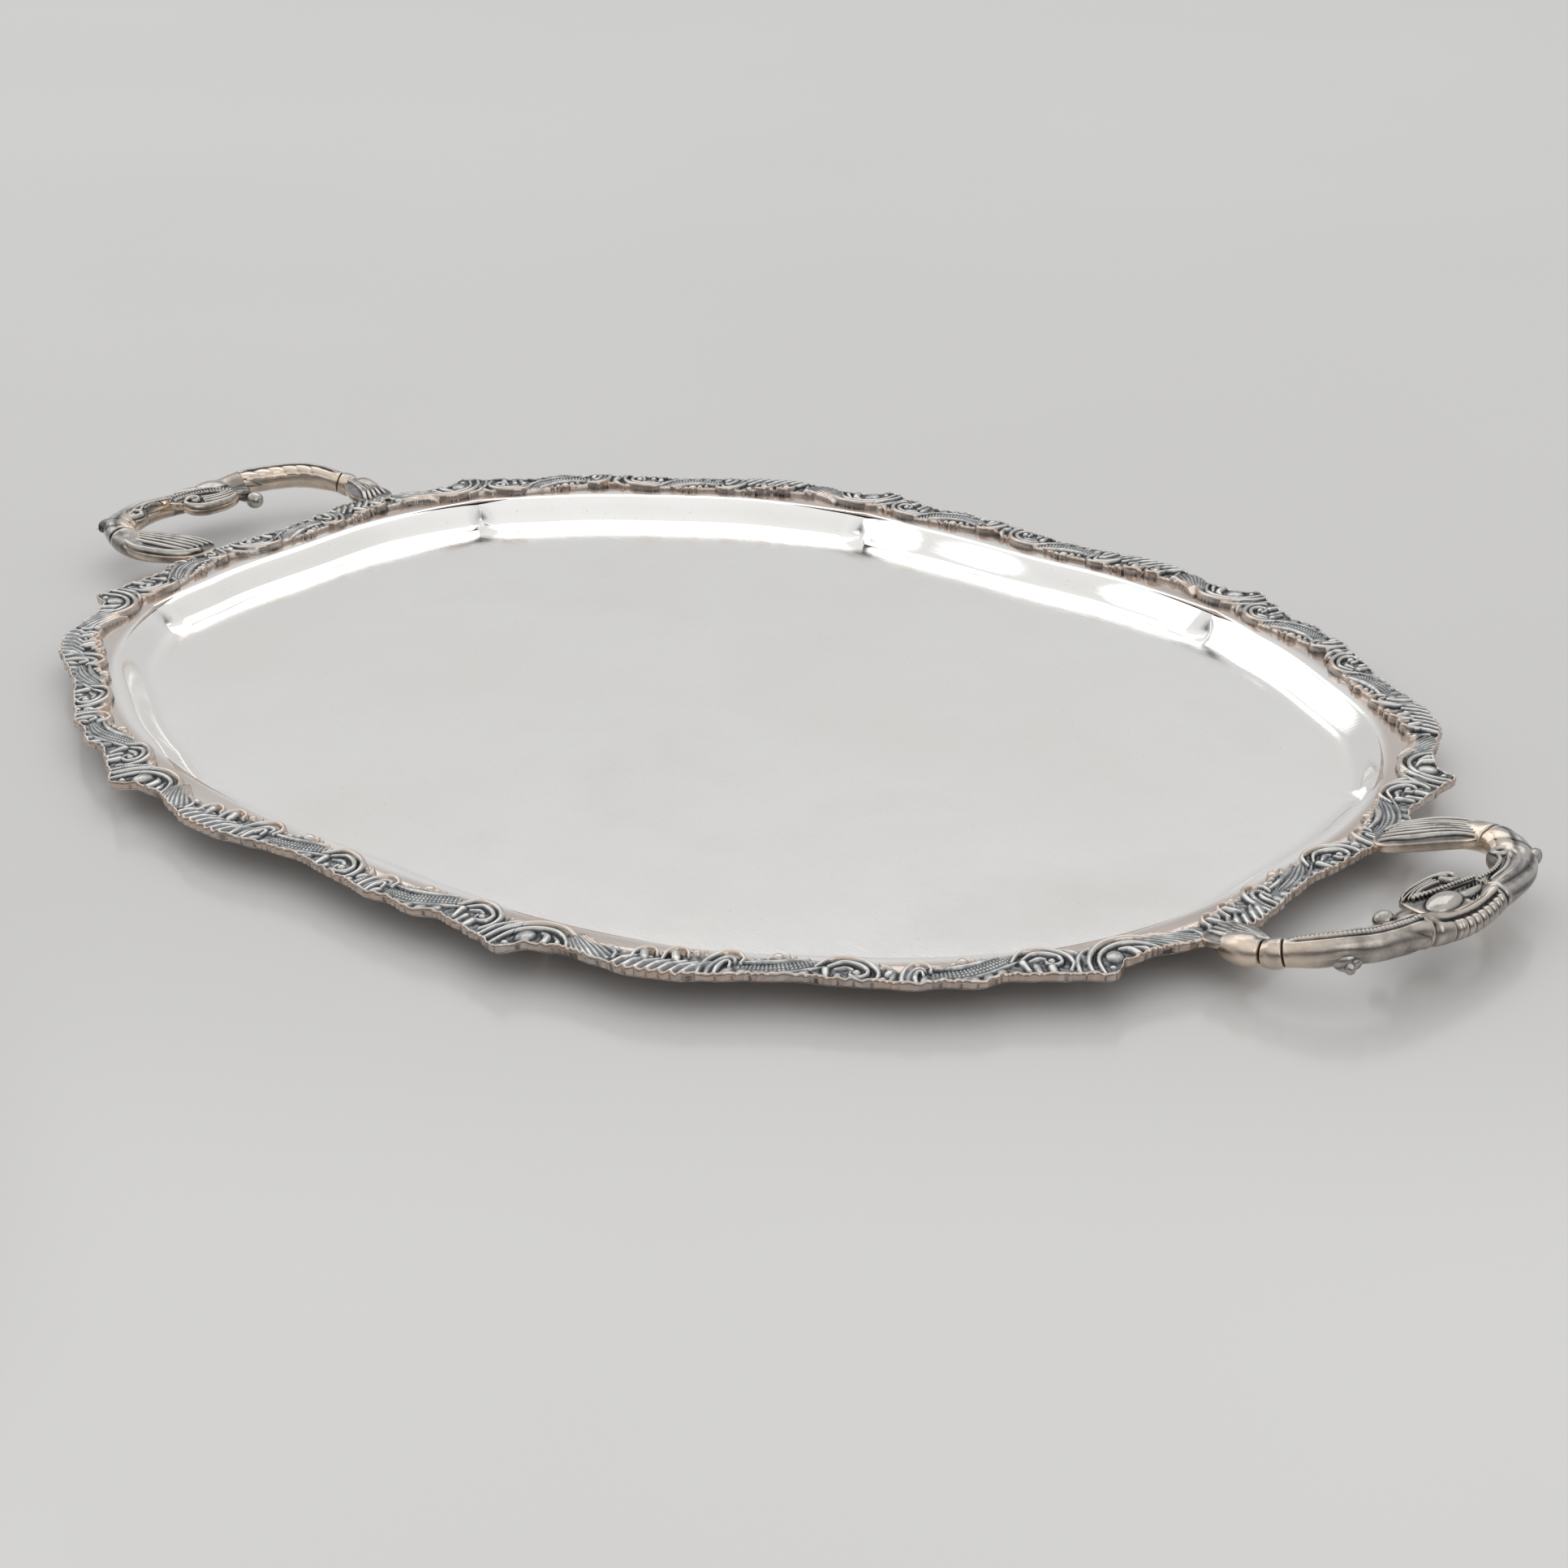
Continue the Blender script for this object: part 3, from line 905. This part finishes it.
def leaf_arm():
    """The leafy arm, from the cartouche over to the border, with a curl on top and a root leaf."""
    cast = Casting()

    def carve(t, a):
        lines = 0.5 * (np.abs(np.sin(3.5 * a + 0.8 * t)) ** 0.6 - 0.5) * fade(np.sin(a), -0.1, 0.5)
        lobes = 0.6 * (np.abs(np.sin(np.pi * (1.2 * t - 0.5 * a))) ** 0.7 - 0.6) * fade(t, 16.2, 16.8)
        lines = lines + lobes * fade(np.sin(a), 0.1, 0.7)
        step = -0.8 * dents(t, (14.12, 18.4), 0.07) * fade(np.sin(a + 0.5), -0.6, 0.2)
        return lines * fade(t, 14.1, 14.8) * fade(-t, -19.5, -17) + step

    def warm(t, a):
        return np.maximum(fade(np.cos(a - np.pi), -0.2, 0.6), 0.55 * fade(-np.sin(a), -0.2, 0.7))

    cast.sweep(HANDLE, CARTOUCHE_TO, len(HANDLE) - 1, 480, 96, carve, warm)

    def curl(x, y):
        hook = ridge(x, y, [(311.6, 20.6), (312, 27.6), (310.8, 34.2), (307.8, 39.8), (303.2, 42.6),
                            (299.6, 41), (299.2, 37.4), (301.8, 35.6), (303.8, 37.4), (302.6, 39.4)],
                       [0.9, 1.5, 1.7, 1.5, 1.0, 0.7], 1.2)
        inner = ridge(x, y, [(309, 20.6), (309.2, 27), (307.6, 32.6), (305.2, 36.6)], [0.6, 0.9, 0.6], 0.8)
        fold = ridge(x, y, [(306.4, 22), (306.2, 27), (304.6, 31.4)], [0.5, 0.8, 0.5], 0.7)
        return np.maximum.reduce([hook, inner, fold])

    cast.cushion(CURL_RIM, (306, 32), lambda x, y: 1.4 + 0 * x, 2.1, curl, 3.6, 60, 200)
    cast.beads(BEAD_LINE, 0, 1, 1.45, 0.7)

    def blade(x, y):
        paths = [[(286 - 0.4 * k, 50.6 + 1.3 * k), (276.6, 46.4 + 2.3 * k), (268 - 0.5 * k, 40.6 + 2.6 * k),
                  (260.6 - 0.2 * k, 36 + 2.6 * k)] for k in (-2, -1, 0, 1, 2, 3)]
        lines = [ridge(x, y, path, [0.5, 1.1, 1.1, 0.5], 0.9) for path in paths]
        roll = ridge(x, y, [(285, 57), (277.6, 58), (270.8, 56), (264.6, 51.6), (260, 45.6), (258.4, 39.6)],
                     [0.8, 1.3, 1.3, 0.9], 1.2)
        return np.maximum.reduce(lines + [roll])

    cast.cushion(ROOT_RIM, (273, 46), lambda x, y: -3.0 + 0.13 * (x - 266), 2.9, blade, 3.6, 66, 240)
    cast.bead((268.2, 35.6, HANDLE_Z - 3.0), (2.4, 1.6, 1.6), np.radians(40), 0.1)

    def bud(la, lo):
        return -0.05 * np.abs(np.sin(1.5 * lo)) - 0.30 * fade(la, -0.2, 1.5)

    cast.bead((307.4, 48.8, HANDLE_Z - 0.6), (5.6, 2.9, 3.0), np.radians(96), 0.15, bud)
    return cast


def handles(material):
    """Both handles. The left one is the right one after half a turn."""
    for side, turned in (("right", False), ("left", True)):
        for maker, word in ((plain_arm, "plain_arm"), (cartouche, "cartouche"), (leaf_arm, "leaf_arm")):
            maker().finish(f"{side}_{word}_cast", f"{side}_handle_{word}", material, turned)


# ---------------------------------------------------------------- stage
def along_view(tree, coordinates):
    """How far a point or a direction lies along the level direction away from the front."""
    where = tree.nodes.new("ShaderNodeTexCoord")
    node = add_node(tree, "ShaderNodeVectorMath", operation="DOT_PRODUCT")
    node.inputs[1].default_value = tuple(BACK)
    tree.links.new(where.outputs[coordinates], node.inputs[0])
    return node.outputs["Value"]


FLOOR_HALF = 4.0
FLOOR_POINTS = 9


def floor():
    """The pale, slightly glossy table top."""
    mesh = bpy.data.meshes.new("floor")
    line = np.linspace(-FLOOR_HALF, FLOOR_HALF, FLOOR_POINTS)
    x, y = np.meshgrid(line, line, indexing="ij")
    points = np.column_stack([x.ravel(), y.ravel(), np.zeros(x.size)])
    mesh.from_pydata(points.tolist(), [], grid_quads(FLOOR_POINTS, FLOOR_POINTS)[:, ::-1].tolist())
    ground = in_scene("floor", mesh)
    material, tree, shader = new_material("pale_floor")
    cloud = noise(tree, 3.0, 3.0, 0.5)
    pale = ramp(tree, cloud, [(0.3, (0.625, 0.625, 0.625)), (0.7, (0.645, 0.645, 0.645))])
    along = remap(tree, along_view(tree, "Object"), -0.45, 0.45, 0, 1)
    tint = ramp(tree, along, [(0.0, (1.0, 0.995, 0.99)), (1.0, (0.98, 0.9751, 0.9702))])
    tree.links.new(mix_colour(tree, 1.0, pale, tint, "MULTIPLY"), shader.inputs["Base Color"])
    shader.inputs["Roughness"].default_value = 0.18
    shader.inputs["IOR"].default_value = 1.7
    ground.data.materials.append(material)
    ground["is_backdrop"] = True


def soft_light(name, at, size, watts):
    """A rectangular light that faces the tray."""
    data = bpy.data.lights.new(name, "AREA")
    data.shape = "RECTANGLE"
    data.size, data.size_y = size
    data.energy = watts
    light = in_scene(name, data)
    light.location = at
    light.rotation_euler = (-Vector(at)).to_track_quat("-Z", "Y").to_euler()


def studio():
    """A pale room: bright overhead and behind the tray, and dark low down behind the camera."""
    world = bpy.data.worlds.new("studio")
    bpy.context.scene.world = world
    world.use_nodes = True
    tree = world.node_tree
    where = tree.nodes.new("ShaderNodeTexCoord")
    facing = along_view(tree, "Generated")
    low = ramp(tree, remap(tree, facing, -1, 1, 0, 1),
               [(0.0, (0.17, 0.17, 0.172)), (0.30, (0.25, 0.25, 0.253)), (0.62, (0.52, 0.52, 0.52)),
                (0.85, (0.64, 0.64, 0.64))])
    split = tree.nodes.new("ShaderNodeSeparateXYZ")
    tree.links.new(where.outputs["Generated"], split.inputs[0])
    overhead = remap(tree, split.outputs["Z"], 0.28, 0.62, 0, 1)
    grey = mix_colour(tree, overhead, low, (0.78, 0.775, 0.765))
    top = remap(tree, split.outputs["Z"], 0.7, 0.95, 0, 1)
    grey = mix_colour(tree, top, grey, (0.92, 0.915, 0.905))
    tree.links.new(grey, tree.nodes["Background"].inputs["Color"])
    soft_light("overhead", (-0.8, 1.1, 1.8), (2.2, 1.6), 8)
    soft_light("left_box", (-2.0, -0.2, 1.3), (1.8, 1.6), 5)
    soft_light("right_box", (2.0, -0.6, 1.2), (1.6, 1.4), 4)


# The photograph's viewing angle, with the lens off centre as its framing has it.
CAMERA_AZIMUTH = np.radians(40.13)
CAMERA_ELEVATION = np.radians(23.73)
CAMERA_AT = Vector((0.7446, -0.7564, 0.4362))
LENS = 71.59
LENS_SHIFT = -0.107
BACK = Vector((-np.sin(CAMERA_AZIMUTH), np.cos(CAMERA_AZIMUTH), 0))


def camera():
    data = bpy.data.cameras.new("camera")
    data.lens = LENS
    data.sensor_width = 36
    data.shift_x = LENS_SHIFT
    view = in_scene("camera", data)
    view.location = CAMERA_AT
    way = BACK * np.cos(CAMERA_ELEVATION) - Vector((0, 0, np.sin(CAMERA_ELEVATION)))
    view.rotation_euler = way.to_track_quat("-Z", "Y").to_euler()
    bpy.context.scene.camera = view


bpy.context.scene.view_settings.view_transform = "Standard"
camera()
studio()
floor()
sheet = sheet_material()
border = cast_material("border_silver", (0.61, 0.60, 0.58), (0.26, 0.27, 0.278), (0.04, 0.043, 0.046),
                       (0.60, 0.48, 0.40))
grip = cast_material("handle_silver", (0.50, 0.475, 0.445), (0.19, 0.185, 0.18), (0.022, 0.021, 0.021),
                     (0.82, 0.69, 0.57))
tray_body(sheet)
border_sections(border)
handles(grip)

boxes = {"cad": CAD_BOX, "visual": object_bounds()}
{key: [[float(x) for x in corner] for corner in box] for key, box in boxes.items()}
